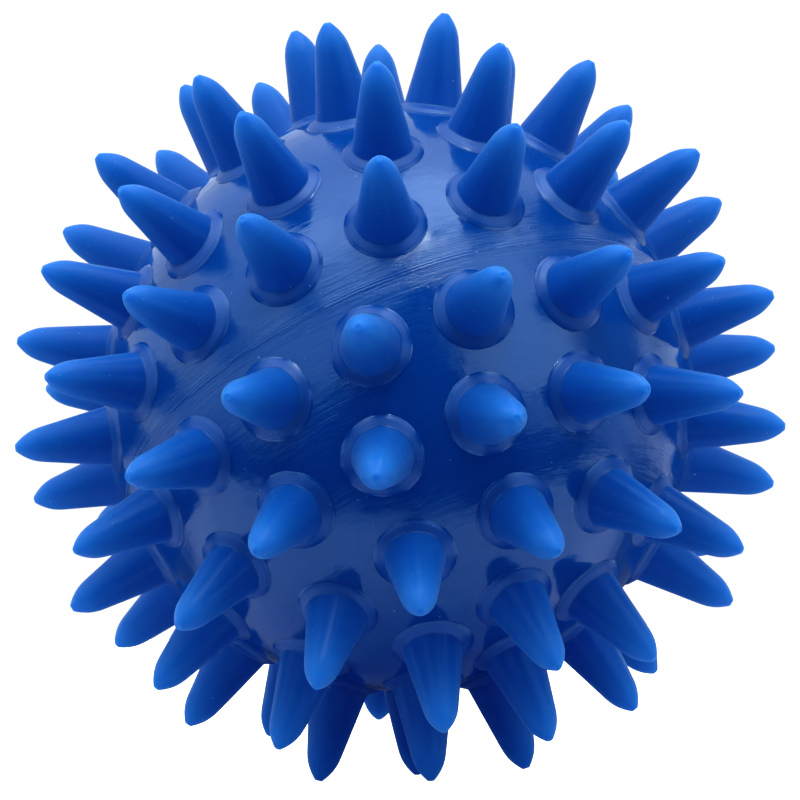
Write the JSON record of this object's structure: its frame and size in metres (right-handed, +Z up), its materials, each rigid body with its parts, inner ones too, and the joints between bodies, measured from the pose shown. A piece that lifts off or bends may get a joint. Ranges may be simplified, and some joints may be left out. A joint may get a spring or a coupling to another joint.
{
  "type": "massage ball",
  "caption": "Blue moulded massage ball: hollow glossy skin with cone spikes on low round skirts, a fine seam around its middle, and a pull-out plug in a soft sleeve.",
  "frame": {"origin": "the centre of the ball, which is its centre of mass to within a fraction of a millimetre", "axes": "+Z is up as the ball rests on three spike tips; +Y points away from a viewer in front, and the valve faces it; +X is to that viewer's right. The height is the smallest of the three extents, because the ball stands between tips"},
  "size_m": [0.0738, 0.0742, 0.0734],
  "materials": {
    "skin": "glossy soft plastic between the spikes, satin on the spikes",
    "valve_sleeve": "soft matte rubber",
    "valve_plug": "fine satin moulded plastic"
  },
  "bodies": {
    "ball": {"skin": "skin", "valve_sleeve": "valve_sleeve"},
    "plug": {"valve_plug": "valve_plug"}
  },
  "joints": [
    {"name": "plug_pull", "type": "slide", "parent": "ball", "child": "plug", "axis": [-0.1517, 0.9783, 0.1408], "range_m": [0, 0.015]}
  ]
}
